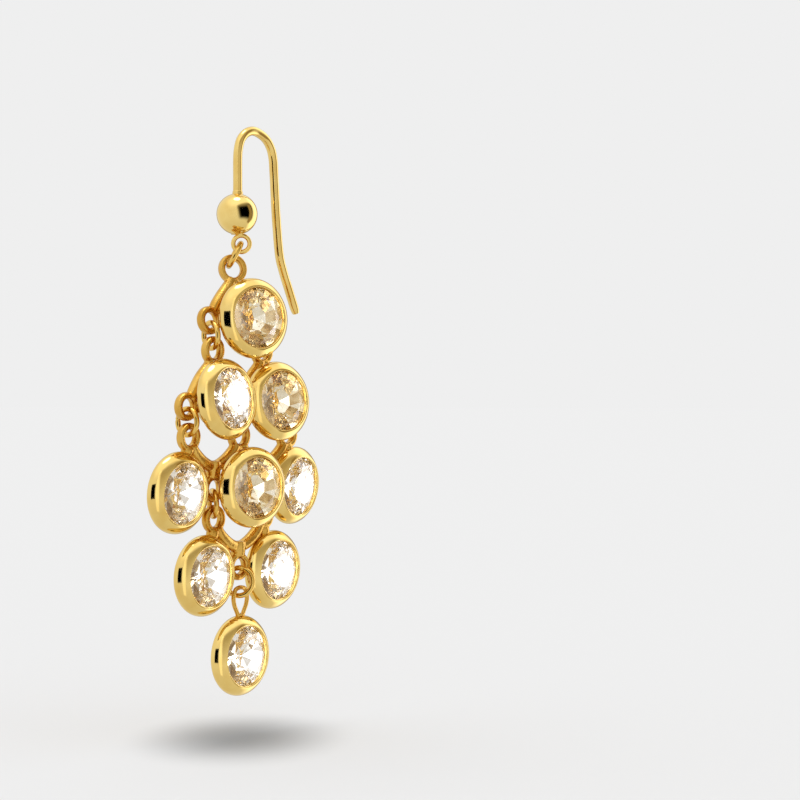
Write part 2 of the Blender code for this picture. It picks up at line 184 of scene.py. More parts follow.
# where the cut of each ring lies, in steps round it
TOP_CUT = 40
FIRST_CUT = 12
CUT_STEP = 7
LINKS = ("link_1a", "link_1b", "link_2a", "link_2b", "link_2c", "link_3a", "link_3b", "link_4a")

# place of the middle of the top eyes in mm, turn and tip in degrees, drop to the next eyes in mm
ROWS = {
    "1": {"y": 0.80, "z": -13.12, "turn": -4.0, "tip": -5.0, "drop": 5.10},
    "2": {"y": 0.14, "z": -21.08, "turn": 0.0, "tip": 1.5, "drop": 5.34},
    "3": {"y": -0.02, "z": -29.30, "turn": 0.0, "tip": 2.5, "drop": 4.92},
    "4": {"y": 0.05, "z": -37.16, "turn": 0.0, "tip": 1.2, "drop": 4.72},
    "5": {"y": -0.20, "z": -43.90, "turn": 1.0, "tip": 0.0, "drop": 0.0},
}
# place on the row in mm, turn and tip in degrees
BEZELS = {
    "1": {"x": 0.20, "z": -5.05, "forward": 2.55, "turn": -8.7, "tip": 2.4},
    "2a": {"x": -3.68, "z": -4.55, "forward": 2.35, "turn": 2.5, "tip": -7.5},
    "2b": {"x": 3.72, "z": -4.75, "forward": 2.30, "turn": -7.6, "tip": -5.5},
    "3a": {"x": -8.22, "z": -5.20, "forward": 0.35, "turn": 1.0, "tip": 1.6},
    "3b": {"x": -0.60, "z": -4.75, "forward": 2.75, "turn": -9.5, "tip": -2.5},
    "3c": {"x": 8.13, "z": -5.05, "forward": 0.45, "turn": 6.0, "tip": 2.5},
    "4a": {"x": -4.72, "z": -5.32, "forward": 0.37, "turn": 0.0, "tip": 1.0},
    "4b": {"x": 5.05, "z": -5.38, "forward": 0.37, "turn": 2.0, "tip": 0.5},
    "5": {"x": 0.0, "z": -6.60, "forward": 0.27, "turn": 0.0, "tip": 0.0},
}

BEZEL_STEPS = 120
CURVE_STEPS = 5
WIRE_SIDES = 28
FINE_SIDES = 18
# the frames' skin is remade in cells of this size, then its joints are eased this many times
VOXEL = 0.06 * MM
FILLET_ROUNDS = 6
# points of a wire closer than this are one
WELD = 0.0005 * MM

# Finishes: how far the tone of each drifts, and the size of its wear, marks or wrinkles
GOLD_CLOUD = 2.4 * MM
GOLD_RUB = 0.30 * MM
GLASS_CLOUD = 1.8 * MM
# real polish marks are finer; these are as coarse as they need to be to show
GLASS_MARK = 0.08 * MM
FOIL_CLOUD = 0.9 * MM
WRINKLE = 0.5 * MM
WRINKLE_DEPTH = 0.006 * MM
FOIL_ROUGH = 0.05
# polish marks leave the glass clear at 0 and faintly soft at this roughness
GLASS_ROUGH = 0.012
GLASS_IOR = 1.56


# Colour and node helpers

def linear(text):
    """A colour written as sRGB hex, as linear numbers."""
    found = []
    for i in (1, 3, 5):
        value = int(text[i:i + 2], 16) / 255.0
        found.append(value / 12.92 if value <= 0.04045 else ((value + 0.055) / 1.055) ** 2.4)
    return (*found, 1.0)


def add(tree, kind, inputs=None, stops=(), **settings):
    """Adds a node with settings, sets or links its inputs, and gives a colour ramp its (place, colour) stops."""
    node = tree.nodes.new(kind)
    for key, value in settings.items():
        setattr(node, key, value)
    for key, value in (inputs or {}).items():
        socket = node.inputs[key]
        if isinstance(value, bpy.types.NodeSocket):
            tree.links.new(value, socket)
        else:
            socket.default_value = value
    if stops:
        points = node.color_ramp.elements
        while len(points) < len(stops):
            points.new(0.5)
        for point, (place, colour) in zip(points, stops):
            point.position = place
            point.color = colour
    return node


def new_material(name):
    """An empty node material and its tree."""
    mat = bpy.data.materials.new(name)
    mat.use_nodes = True
    mat.node_tree.nodes.clear()
    return mat, mat.node_tree


def gold(name, deep, pale, rough, wave, grain):
    """Polished or cast gold: colour drifts between two tones, and soft waves and fine grain bend its gloss.

    rough is the range of roughness; wave and grain are each a depth and a size.
    """
    mat, tree = new_material(name)
    place = add(tree, "ShaderNodeTexCoord").outputs["Object"]
    cloud, rub, broad, fine = (
        add(tree, "ShaderNodeTexNoise", {"Vector": place, "Scale": 1.0 / size, "Detail": detail}).outputs["Fac"]
        for size, detail in ((GOLD_CLOUD, 3.0), (GOLD_RUB, 4.0), (wave[1], 2.0), (grain[1], 5.0)))
    colour = add(tree, "ShaderNodeValToRGB", {"Fac": cloud},
                 stops=((0.3, linear(deep)), (0.7, linear(pale)))).outputs["Color"]
    gloss = add(tree, "ShaderNodeMapRange",
                {"Value": rub, "From Min": 0.3, "From Max": 0.7, "To Min": rough[0], "To Max": rough[1]})
    first = add(tree, "ShaderNodeBump", {"Height": broad, "Strength": 1.0, "Distance": wave[0]})
    second = add(tree, "ShaderNodeBump", {"Height": fine, "Strength": 1.0, "Distance": grain[0],
                                          "Normal": first.outputs["Normal"]})
    shader = add(tree, "ShaderNodeBsdfPrincipled",
                 {"Base Color": colour, "Roughness": gloss.outputs["Result"], "Metallic": 1.0,
                  "Normal": second.outputs["Normal"]})
    add(tree, "ShaderNodeOutputMaterial", {"Surface": shader.outputs["BSDF"]})
    return mat


def crystal(name, deep, pale):
    """Clear cut glass: sharp facets, a very faint warm cloud and hairline polish marks."""
    mat, tree = new_material(name)
    place = add(tree, "ShaderNodeTexCoord").outputs["Object"]
    cloud = add(tree, "ShaderNodeTexNoise", {"Vector": place, "Scale": 1.0 / GLASS_CLOUD, "Detail": 2.0})
    marks = add(tree, "ShaderNodeTexNoise", {"Vector": place, "Scale": 1.0 / GLASS_MARK, "Detail": 3.0})
    colour = add(tree, "ShaderNodeValToRGB", {"Fac": cloud.outputs["Fac"]},
                 stops=((0.35, linear(deep)), (0.65, linear(pale)))).outputs["Color"]
    rough = add(tree, "ShaderNodeMapRange",
                {"Value": marks.outputs["Fac"], "From Min": 0.35, "From Max": 0.75,
                 "To Min": 0.0, "To Max": GLASS_ROUGH})
    shader = add(tree, "ShaderNodeBsdfPrincipled",
                 {"Base Color": colour, "Roughness": rough.outputs["Result"], "IOR": GLASS_IOR,
                  "Transmission Weight": 1.0})
    add(tree, "ShaderNodeOutputMaterial", {"Surface": shader.outputs["BSDF"]})
    return mat


def foil(name, deep, pale):
    """Mirror foil on a stone's back: its tone drifts a little and its gloss is faintly uneven."""
    mat, tree = new_material(name)
    place = add(tree, "ShaderNodeTexCoord").outputs["Object"]
    cloud = add(tree, "ShaderNodeTexNoise", {"Vector": place, "Scale": 1.0 / FOIL_CLOUD, "Detail": 2.0})
    wrinkle = add(tree, "ShaderNodeTexNoise", {"Vector": place, "Scale": 1.0 / WRINKLE, "Detail": 2.0})
    colour = add(tree, "ShaderNodeValToRGB", {"Fac": cloud.outputs["Fac"]},
                 stops=((0.35, linear(deep)), (0.65, linear(pale)))).outputs["Color"]
    bump = add(tree, "ShaderNodeBump",
               {"Height": wrinkle.outputs["Fac"], "Strength": 1.0, "Distance": WRINKLE_DEPTH})
    shader = add(tree, "ShaderNodeBsdfPrincipled",
                 {"Base Color": colour, "Roughness": FOIL_ROUGH, "Metallic": 1.0,
                  "Normal": bump.outputs["Normal"]})
    add(tree, "ShaderNodeOutputMaterial", {"Surface": shader.outputs["BSDF"]})
    return mat


# Bright rims, ball and wire: a near mirror that bends reflections a little, as hand polishing leaves it
POLISHED = gold("polished yellow gold", "#E3BE6A", "#EFD284", rough=(0.06, 0.11),
                wave=(0.010 * MM, 1.3 * MM), grain=(0.00012 * MM, 0.05 * MM))
# Eyes and arms between the rims: lumpy cast skin with a softer gloss; its deeper tone is partly the cast gold's own
# and partly painted shade of these recesses
CAST = gold("cast yellow gold", "#C8953C", "#DFB35A", rough=(0.15, 0.27),
            wave=(0.040 * MM, 0.50 * MM), grain=(0.013 * MM, 0.15 * MM))
# Thin hand-closed rings: polished, with a little more wear in their gloss; their deeper tone than the rims' is
# painted shade
WORN_AND_SHADED = gold("polished gold wire", "#DBAE50", "#EBC670", rough=(0.07, 0.14),
            wave=(0.008 * MM, 0.7 * MM), grain=(0.0003 * MM, 0.06 * MM))
# Stones: clear and near colourless, with crisp facets
STONE = crystal("clear cut glass", "#FBF7F2", "#FFFFFF")
# Backs of the stones: pale foil throws light back white, champagne foil warms it, and bronze foil paints brown
# streaks that stand for reflections of the seat's gold
PALE_FOIL = foil("pale foil", "#F4F1EC", "#FEFDFB")
WARM_FOIL = foil("champagne foil", "#EADFC4", "#F8F2E2")
GOLD_REFLECTION_FOIL = foil("bronze tinted foil", "#B99662", "#E2CCA0")
# the bezels whose stones have champagne foil
WARM_SEATS = ("1", "2b", "3b")


# Shape helpers

def finished(name, shape, mats, body, nodes, smooth=True):
    """Makes an object of a mesh in the making, with its faces outward, and puts it in the frame."""
    bmesh.ops.recalc_face_normals(shape, faces=shape.faces)
    if shape.calc_volume(signed=True) < 0.0:
        bmesh.ops.reverse_faces(shape, faces=shape.faces)
    mesh = bpy.data.meshes.new(name)
    shape.to_mesh(mesh)
    shape.free()
    for mat in mats:
        mesh.materials.append(mat)
    if smooth:
        mesh.shade_smooth()
    obj = bpy.data.objects.new(name, mesh)
    bpy.context.scene.collection.objects.link(obj)
    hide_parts(*nodes)
    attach(obj, body)


def upright(turn):
    """Rotation that stands a flat ring up, its face turned about the upright."""
    return Matrix.Rotation(radians(turn), 4, "Z") @ Matrix.Rotation(QUARTER, 4, "X")


def placed(across, back, up, turn, tip):
    """A place in metres, with a turn about the upright and a tip about the width, in degrees."""
    return (Matrix.Translation((across, back, up))
            @ Matrix.Rotation(radians(turn), 4, "Z") @ Matrix.Rotation(radians(tip), 4, "X"))


def row_place(row):
    """Where a row hangs: the middle of its top eyes."""
    return placed(HANG.x, row["y"] * MM, row["z"] * MM, row["turn"], row["tip"])


def bezel_place(seat):
    """Where a bezel sits on its row."""
    at = BEZELS[seat]
    return (row_place(ROWS[seat[0]])
            @ placed(at["x"] * MM, -at["forward"] * MM, at["z"] * MM, at["turn"], at["tip"]) @ upright(0.0))


def circle(radius, height, count, shift=0.0):
    """Points evenly round a level circle; shift turns it by a share of one step."""
    return [Vector((radius * cos(2 * pi * (i + shift) / count), radius * sin(2 * pi * (i + shift) / count), height))
            for i in range(count)]


def spline_through(points, per_span):
    """Points on a smooth curve through the given ones."""
    ends = [points[0] * 2 - points[1]] + points + [points[-1] * 2 - points[-2]]
    found = []
    for i in range(1, len(ends) - 2):
        a, b, c, d = ends[i - 1:i + 3]
        for step in range(per_span):
            t = step / per_span
            found.append(0.5 * (2 * b + (c - a) * t + (2 * a - 5 * b + 4 * c - d) * t * t
                                + (3 * b - a - 3 * c + d) * t * t * t))
    found.append(points[-1])
    return found


def wire_tree():
    """Geometry nodes that sweep a round wire along a curve, thick as the curve's own radius says."""
    tree = bpy.data.node_groups.new("round wire", "GeometryNodeTree")
    face = tree.interface
    face.new_socket("Geometry", in_out="INPUT", socket_type="NodeSocketGeometry")
    face.new_socket("Wire Radius", in_out="INPUT", socket_type="NodeSocketFloat")
    face.new_socket("Sides", in_out="INPUT", socket_type="NodeSocketInt")
    face.new_socket("Material", in_out="INPUT", socket_type="NodeSocketMaterial")
    face.new_socket("Geometry", in_out="OUTPUT", socket_type="NodeSocketGeometry")
    given = add(tree, "NodeGroupInput").outputs
    section = add(tree, "GeometryNodeCurvePrimitiveCircle",
                  {"Resolution": given["Sides"], "Radius": given["Wire Radius"]})
    width = add(tree, "GeometryNodeInputRadius").outputs["Radius"]
    sweep = add(tree, "GeometryNodeCurveToMesh",
                {"Curve": given["Geometry"], "Profile Curve": section.outputs["Curve"], "Scale": width,
                 "Fill Caps": True})
    real = add(tree, "GeometryNodeRealizeInstances", {"Geometry": sweep.outputs["Mesh"]})
    dressed = add(tree, "GeometryNodeSetMaterial",
                  {"Geometry": real.outputs["Geometry"], "Material": given["Material"]})
    add(tree, "NodeGroupOutput", {"Geometry": dressed.outputs["Geometry"]})
    return tree


WIRE_TREE = wire_tree()


def wire(points, radius, sides, mat, widths=None, closed=False):
    """A round wire along a line of points, as a mesh in the making; widths are shares of radius."""
    curve = bpy.data.curves.new("wire path", "CURVE")
    curve.dimensions = "3D"
    line = curve.splines.new("POLY")
    line.points.add(len(points) - 1)
    for i, place in enumerate(points):
        line.points[i].co = (*place, 1.0)
        line.points[i].radius = widths[i] if widths else 1.0
    line.use_cyclic_u = closed
    carrier = bpy.data.objects.new("wire path", curve)
    bpy.context.scene.collection.objects.link(carrier)
    sweep = carrier.modifiers.new("wire", "NODES")
    sweep.node_group = WIRE_TREE
    known = {item.name: item.identifier for item in WIRE_TREE.interface.items_tree if item.in_out == "INPUT"}
    sweep[known["Wire Radius"]] = radius
    sweep[known["Sides"]] = sides
    sweep[known["Material"]] = mat
    bpy.context.view_layer.update()
    mesh = bpy.data.meshes.new_from_object(carrier.evaluated_get(bpy.context.evaluated_depsgraph_get()))
    bpy.data.objects.remove(carrier, do_unlink=True)
    bpy.data.curves.remove(curve)
    shape = bmesh.new()
    shape.from_mesh(mesh)
    bpy.data.meshes.remove(mesh)
    bmesh.ops.remove_doubles(shape, verts=shape.verts, dist=WELD)
    return shape


def turned(profile, steps, place):
    """A closed profile of (radius, height) turned about its axis, as a mesh in the making."""
    shape = bmesh.new()
    rings = []
    for k in range(steps):
        angle = 2 * pi * k / steps
        rings.append([shape.verts.new(place @ Vector((r * cos(angle), r * sin(angle), h))) for r, h in profile])
    count = len(profile)
    for k in range(steps):
        here, there = rings[k], rings[(k + 1) % steps]
        for i in range(count):
            j = (i + 1) % count
            shape.faces.new((here[i], here[j], there[j], there[i]))
    return shape


def joined(shapes):
    """Several meshes in the making as one."""
    whole = bmesh.new()
    for piece in shapes:
        mesh = bpy.data.meshes.new("joining")
        piece.to_mesh(mesh)
        piece.free()
        whole.from_mesh(mesh)
        bpy.data.meshes.remove(mesh)
    return whole


def melted(shape):
    """Overlapping pieces run together as cast metal does: one skin, with soft fillets."""
    bmesh.ops.recalc_face_normals(shape, faces=shape.faces)
    mesh = bpy.data.meshes.new("melting")
    shape.to_mesh(mesh)
    shape.free()
    carrier = bpy.data.objects.new("melting", mesh)
    bpy.context.scene.collection.objects.link(carrier)
    cut = carrier.modifiers.new("one skin", "REMESH")
    cut.mode = "VOXEL"
    cut.voxel_size = VOXEL
    cut.adaptivity = 0.0
    ease = carrier.modifiers.new("soft fillets", "SMOOTH")
    ease.factor = 0.5
    ease.iterations = FILLET_ROUNDS
    bpy.context.view_layer.update()
    made = bpy.data.meshes.new_from_object(carrier.evaluated_get(bpy.context.evaluated_depsgraph_get()))
    bpy.data.objects.remove(carrier, do_unlink=True)
    bpy.data.meshes.remove(mesh)
    result = bmesh.new()
    result.from_mesh(made)
    bpy.data.meshes.remove(made)
    return result


# The pieces

def ear_hook():
    """Hook wire, ball, collar and loop in polished gold."""
    path = spline_through([Vector((HOOK_LEG_X + across * HOOK_REACH, 0.0, HOOK_WIRE_R - down * HOOK_DROP))
                           for across, down in HOOK_LINE], HOOK_STEPS)
    count = len(path)
    widths = [1.0] * count
    # the tail's end is rounded over
    for i in range(TAIL_STEPS):
        widths[count - 1 - i] = (1.0 - (1.0 - i / TAIL_STEPS) ** 3) * (1.0 - TAIL_END) + TAIL_END
    # bow and tail are two runs of one wire, and each fades inside the other at the crest
    lap = len(CREST_FADE)
    bow = wire(path[:CREST + lap + 1], HOOK_WIRE_R, WIRE_SIDES, POLISHED,
               widths[:CREST + 1] + list(reversed(CREST_FADE)))
    tail = wire(path[CREST - lap:], HOOK_WIRE_R, WIRE_SIDES, POLISHED, list(CREST_FADE) + widths[CREST:])
    ball = bmesh.new()
    bmesh.ops.create_uvsphere(ball, u_segments=BALL_SIDES, v_segments=BALL_RINGS, radius=BALL_R,
                              matrix=Matrix.Translation((HOOK_LEG_X - BALL_OFF, 0.0, BALL_Z)))
    top = BALL_Z + BALL_R
    collar = wire([Vector((HOOK_LEG_X, 0.0, top + up * MM)) for up, _ in COLLAR_LINE],
                  COLLAR_R, COLLAR_SIDES, POLISHED, [width for _, width in COLLAR_LINE])
    loop_at = Matrix.Translation(HANG) @ upright(LOOP_TURN)
    loop = wire([loop_at @ at for at in circle(LOOP_R, 0.0, LOOP_STEPS)],
                LOOP_WIRE_R, FINE_SIDES, POLISHED, closed=True)
    low = HANG + Vector((0.0, 0.0, LOOP_R))
    high = Vector((HANG.x - ROOT_OFF, HANG.y * 0.5, BALL_Z - ROOT_TOP * BALL_R))
    root = wire([low.lerp(high, share) for share, _ in ROOT_LINE],
                LOOP_ROOT_R, ROOT_SIDES, POLISHED, [width for _, width in ROOT_LINE])
    finished("hook_ball", ball, [POLISHED], "hook", ["ear_hook"])
    finished("hook_wire", joined([bow, collar, loop, root]), [POLISHED], "hook", ["ear_hook"])
    finished("hook_tail", tail, [POLISHED], "hook", ["ear_hook"])


def eye(x, z, radius=EYE_R, wall=EYE_WALL, turn=0.0):
    """A thick flat eye with rounded walls."""
    profile = []
    for i in range(EYE_WALL_STEPS):
        angle = 2 * pi * i / EYE_WALL_STEPS
        profile.append((radius + wall * (abs(cos(angle)) ** EYE_ROUND) * (1 if cos(angle) > 0 else -1),
                        EYE_DEPTH * (abs(sin(angle)) ** EYE_ROUND) * (1 if sin(angle) > 0 else -1)))
    return turned(profile, EYE_STEPS, Matrix.Translation((x, 0.0, z)) @ upright(turn))


def arm(points, radius):
    """An arm of the frame through points given as (across, up) in metres."""
    line = spline_through([Vector((x, 0.0, z)) for x, z in points], CURVE_STEPS)
    widths = [1.0 + ARM_SWELL * sin(pi * i / (len(line) - 1)) for i in range(len(line))]
    return wire(line, radius, FINE_SIDES, CAST, widths)


def peak(x, drop):
    """Two arms that run down from one eye to the two eyes below it."""
    return [arm([(x + side * aside * MM, up * MM) for aside, up in PEAK_HEAD]
                + [(x + side * (HALF - aside * MM), up * MM - drop) for aside, up in PEAK_FOOT], ARM_R)
            for side in (-1, 1)]


def valley(x, drop):
    """Two arms that run together from two eyes, and the stem to the one eye below them."""
    arms = [arm([(x + side * (HALF - aside * MM), up * MM) for aside, up in VALLEY_LINE], ARM_R)
            for side in (-1, 1)]
    return arms + [arm([(x, up * MM) for up in STEM_HEAD] + [(x, STEM_FOOT * MM - drop)], STEM_R)]


def neck(x, seat):
    """A short neck from a top eye down into the rim of the bezel under it."""
    rim = BEZELS[seat]["z"] * MM + BEZEL_R
    lean = (BEZELS[seat]["x"] * MM - x) * NECK_LEAN
    return arm([(x, NECK_TOP), (x + lean, rim - NECK_SINK)], NECK_R)


def bail():
    """The teardrop bail of the bottom stone, with the short stem that joins it to the rim."""
    rim_top = BEZELS["5"]["z"] * MM + BEZEL_R
    loop = spline_through([Vector((across * MM, 0.0, up * rim_top)) for across, up in BAIL_LINE], BAIL_STEPS)
    loop += [Vector((-at.x, 0.0, at.z)) for at in reversed(loop[:-1])]
    return [wire(loop, LOOP_WIRE_R, FINE_SIDES, CAST),
            arm([(0.0, rim_top * share) for share in BAIL_STEM], BAIL_STEM_R)]


def eyes(*places):
    """Equal eyes at places given as (across, up)."""
    return [eye(x, z) for x, z in places]


FRAMES = {
    "1": lambda drop: (
        peak(0.0, drop) + [arm([(0.0, TOP_EYE_UP + NECK_TOP), (0.0, TOP_NECK_FOOT)], NECK_R),
                           eye(0.0, TOP_EYE_UP, TOP_EYE_R, TOP_EYE_WALL, TOP_EYE_TURN)]
        + eyes((-HALF, -drop), (HALF, -drop))),
    "2": lambda drop: (
        peak(-HALF, drop) + peak(HALF, drop)
        + eyes((-HALF, 0.0), (HALF, 0.0), (-PITCH, -drop), (0.0, -drop), (PITCH, -drop))),
    "3": lambda drop: (
        valley(-HALF, drop) + valley(HALF, drop) + [neck(-PITCH, "3a"), neck(PITCH, "3c")]
        + eyes((-PITCH, 0.0), (0.0, 0.0), (PITCH, 0.0), (-HALF, -drop), (HALF, -drop))),
    "4": lambda drop: (
        valley(0.0, drop) + [neck(-HALF, "4a"), neck(HALF, "4b")]
        + eyes((-HALF, 0.0), (HALF, 0.0), (0.0, -drop))),
    "5": lambda drop: bail(),
}


def row_frame(label):
    """The cast frame of a row, run together as one skin."""
    shape = melted(joined(FRAMES[label](ROWS[label]["drop"] * MM)))
    shape.transform(row_place(ROWS[label]))
    finished("frame_" + label, shape, [CAST], "drop", ["row_" + label])


def bezel(seat):
    """A polished rim with a rounded wall, a lip over the stone and a seat behind it."""
    back = -max(BEZEL_DEPTH, BEZELS[seat]["forward"] * MM - FRAME_BACK)
    profile = [(at.x, at.y) for at in spline_through([Vector((r, h * BEZEL_DEPTH, 0.0)) for r, h in RIM_LINE],
                                                     CURVE_STEPS)]
    if back < -BEZEL_DEPTH:
        # the hollow post that carries a bezel in front of its frame
        profile += [(POST_R + 0.25 * MM, -1.02 * BEZEL_DEPTH), (POST_R + 0.05 * MM, -1.12 * BEZEL_DEPTH),
                    (POST_R, -1.3 * BEZEL_DEPTH), (POST_R, back), (POST_R - POST_WALL, back),
                    (POST_R - POST_WALL, -0.90 * BEZEL_DEPTH), (STONE_R - 0.35 * MM, -0.55 * BEZEL_DEPTH)]
    else:
        profile += [(0.88 * BEZEL_R, back), (STONE_R - 0.18 * MM, back), (SEAT_R, back + 0.05 * MM)]
    # the groove that holds the stone's girdle
    profile += [(SEAT_R, GIRDLE_AT - 0.31 * MM), (GROOVE_R, GIRDLE_AT - 0.14 * MM), (GROOVE_R, GIRDLE_AT + 0.20 * MM)]
    shape = turned(profile, BEZEL_STEPS, bezel_place(seat))
    finished("bezel_" + seat, shape, [POLISHED], "drop", ["row_" + seat[0]])


def stone(seat):
    """A round cut stone: table, star, kite and girdle facets above, kites and girdle facets below."""
    shape = bmesh.new()
    top = GIRDLE_AT + GIRDLE_H
    points = circle(TABLE_R, top + CROWN_H, FACETS, 0.5)
    points += circle(TABLE_R + STAR_OUT * (STONE_R - TABLE_R), top + STAR_UP * CROWN_H, FACETS)
    points += circle(STONE_R, top, GIRDLE_FACETS) + circle(STONE_R, GIRDLE_AT, GIRDLE_FACETS)
    points += circle(BACK_R * STONE_R, GIRDLE_AT - BACK_DOWN * PAVILION_H, FACETS, 0.5)
    points += circle(CULET_R * STONE_R, GIRDLE_AT - PAVILION_H, FACETS)
    for place in points:
        shape.verts.new(place)
    bmesh.ops.convex_hull(shape, input=shape.verts)
    bmesh.ops.dissolve_limit(shape, angle_limit=FLAT, verts=shape.verts, edges=shape.edges)
    # bronze foil on two in three of the back facets on one side, a warm stone's right, a pale stone's left, is a
    # painted reflection of the seat's gold
    warm = seat in WARM_SEATS
    side = 1.0 if warm else -1.0
    for face in shape.faces:
        low = max(corner.co.z for corner in face.verts) < GIRDLE_AT + GIRDLE_H / 2
        middle = face.calc_center_median()
        turn = int((atan2(middle.y, middle.x) / (2 * pi) + 1.0) * PAINTED_REFLECTION_TURNS + 0.5) % 3
        painted_reflection = (middle.z > GIRDLE_AT - PAINTED_REFLECTION_DOWN * PAVILION_H and middle.x * side > PAINTED_REFLECTION_FROM * STONE_R
                  and turn < 2)
        face.material_index = (2 if painted_reflection else 1) if low else 0
    shape.transform(bezel_place(seat))
    finished("cut_stone_" + seat, shape, [STONE, WARM_FOIL if warm else PALE_FOIL, GOLD_REFLECTION_FOIL], "drop",
             ["stone_" + seat], smooth=False)


def ring_place(node):
    """Middle, plane and size of a ring of the frame."""
    mesh = frame["nodes"][node].data
    points = [frame["nodes"][node].matrix_world @ v.co for v in mesh.vertices]
    middle = sum(points, Vector()) / len(points)
    across = max(points, key=lambda p: (p - middle).length) - middle
    along = max(points, key=lambda p: across.normalized().cross(p - middle).length) - middle
    normal = across.cross(along).normalized()
    return middle, normal, max((p - middle).length for p in points)


def jump_ring(node, wire_radius, cut):
    """A hand-closed ring of round wire; the cut between its ends shows as a fine nick."""
    middle, normal, reach = ring_place(node)
    turn = UP.rotation_difference(normal).to_matrix().to_4x4()
    line = [middle + turn @ at for at in circle(reach - wire_radius, 0.0, RING_STEPS)]
    widths = [NICK if k == cut else 1.0 for k in range(RING_STEPS)]
    shape = wire(line, wire_radius, RING_SIDES, WORN_AND_SHADED, widths, closed=True)
    finished(node + "_ring", shape, [WORN_AND_SHADED], "drop", [node])


ear_hook()
for LABEL in ROWS:
    row_frame(LABEL)
for SEAT in BEZELS:
    bezel(SEAT)
    stone(SEAT)
jump_ring("top_link", TOP_LINK_WIRE_R, TOP_CUT)
for NUMBER, NODE in enumerate(LINKS):
    jump_ring(NODE, LINK_WIRE_R, FIRST_CUT + CUT_STEP * NUMBER)


# Stage: floor, light and camera

FLOOR_Z = -58.3 * MM
FLOOR_HALF = 6.0
FLOOR_TONE = 0.80
BACKDROP = linear("#EFEFEF")
CAMERA_AT = Vector((-0.1420, -0.1271, -0.0258))
CAMERA_LOOK = Vector((0.7934, 0.6088, 0.0))
LENS = 87.64
SENSOR = 36.0
CLIP = (0.01, 20.0)
# the pool of shade painted into the floor's colour: its middle, its reach along and across the view, the floor's tone
# in it, and the shares of its reach between which it fades
PAINTED_SHADE_AT = Vector((-0.0028, -0.0008, 0.0))
PAINTED_SHADE_ALONG = 15.0 * MM
PAINTED_SHADE_ACROSS = 10.4 * MM
PAINTED_SHADE_TONE = 0.48 * FLOOR_TONE
PAINTED_SHADE_FADE = (0.08, 1.12)
# the overhead lamp's strength, and how wide it looks from the floor
LAMP = 0.60
LAMP_WIDE = radians(24.0)
LAMP_UP = 0.3
# even light that reaches the floor in place of the tent
EVEN_TONE = (0.893, 0.893, 0.893, 1.0)
# light must bounce often inside the stones
STONE_BOUNCES = 24
GLOSS_BOUNCES = 16


def stage_piece(name, shape, mat):
    """Makes a plain object of a mesh in the making."""
    mesh = bpy.data.meshes.new(name)
    shape.to_mesh(mesh)
    shape.free()
    mesh.materials.append(mat)
    obj = bpy.data.objects.new(name, mesh)
    bpy.context.scene.collection.objects.link(obj)
    return obj


def floor():
    """A pale floor with a soft shadow painted into its colour under the drop; it also catches the lamp's own weak
    shadow.
    """
    mat, tree = new_material("plain pale floor")
    # the pool of shade painted into the floor's colour lies under the drop, longer towards the camera than across
    place = add(tree, "ShaderNodeTexCoord").outputs["Object"]
    off = add(tree, "ShaderNodeVectorMath", {0: place, 1: PAINTED_SHADE_AT}, operation="SUBTRACT").outputs["Vector"]
    parts = [add(tree, "ShaderNodeVectorMath", {0: off, 1: axis / reach}, operation="DOT_PRODUCT").outputs["Value"]
             for axis, reach in ((CAMERA_LOOK, PAINTED_SHADE_ALONG), (CAMERA_LOOK.cross(UP), PAINTED_SHADE_ACROSS))]
    squares = [add(tree, "ShaderNodeMath", {0: part, 1: 2.0}, operation="POWER").outputs[0] for part in parts]
    away = add(tree, "ShaderNodeMath", {0: squares[0], 1: squares[1]}, operation="ADD").outputs[0]
    away = add(tree, "ShaderNodeMath", {0: away}, operation="SQRT").outputs[0]
    # painted shadow: the floor's tone darkens towards the middle of the pool
    pale = add(tree, "ShaderNodeMapRange",
               {"Value": away, "From Min": PAINTED_SHADE_FADE[0], "From Max": PAINTED_SHADE_FADE[1],
                "To Min": PAINTED_SHADE_TONE, "To Max": FLOOR_TONE}, interpolation_type="SMOOTHSTEP").outputs["Result"]
    colour = add(tree, "ShaderNodeCombineColor", {"Red": pale, "Green": pale, "Blue": pale}).outputs["Color"]
    shader = add(tree, "ShaderNodeBsdfDiffuse", {"Color": colour})
    add(tree, "ShaderNodeOutputMaterial", {"Surface": shader.outputs["BSDF"]})
    shape = bmesh.new()
    bmesh.ops.create_grid(shape, x_segments=1, y_segments=1, size=FLOOR_HALF,
                          matrix=Matrix.Translation((0.0, 0.0, FLOOR_Z)))
    obj = stage_piece("floor", shape, mat)
    obj.visible_glossy = False
    obj.visible_transmission = False


def card_shape(distance, azimuth, elevation, half_width, half_height):
    """A card's curved sheet, as a part of a ball round the earring, with its UV map over it."""
    shape = bmesh.new()
    middle = (Matrix.Rotation(radians(azimuth), 4, "Z") @ Matrix.Rotation(radians(-elevation), 4, "X")
              @ Matrix.Scale(distance, 4))
    rows = []
    for j in range(CARD_STEPS + 1):
        up = radians(half_height) * (2.0 * j / CARD_STEPS - 1.0)
        rows.append([])
        for i in range(CARD_STEPS + 1):
            aside = radians(half_width) * (2.0 * i / CARD_STEPS - 1.0)
            at = Vector((sin(aside) * cos(up), -cos(aside) * cos(up), sin(up)))
            rows[-1].append(shape.verts.new(middle @ at))
    layer = shape.loops.layers.uv.new("UVMap")
    for j in range(CARD_STEPS):
        for i in range(CARD_STEPS):
            face = shape.faces.new((rows[j][i], rows[j][i + 1], rows[j + 1][i + 1], rows[j + 1][i]))
            for loop, (u, v) in zip(face.loops, ((i, j), (i + 1, j), (i + 1, j + 1), (i, j + 1))):
                loop[layer].uv = (u / CARD_STEPS, v / CARD_STEPS)
    return shape


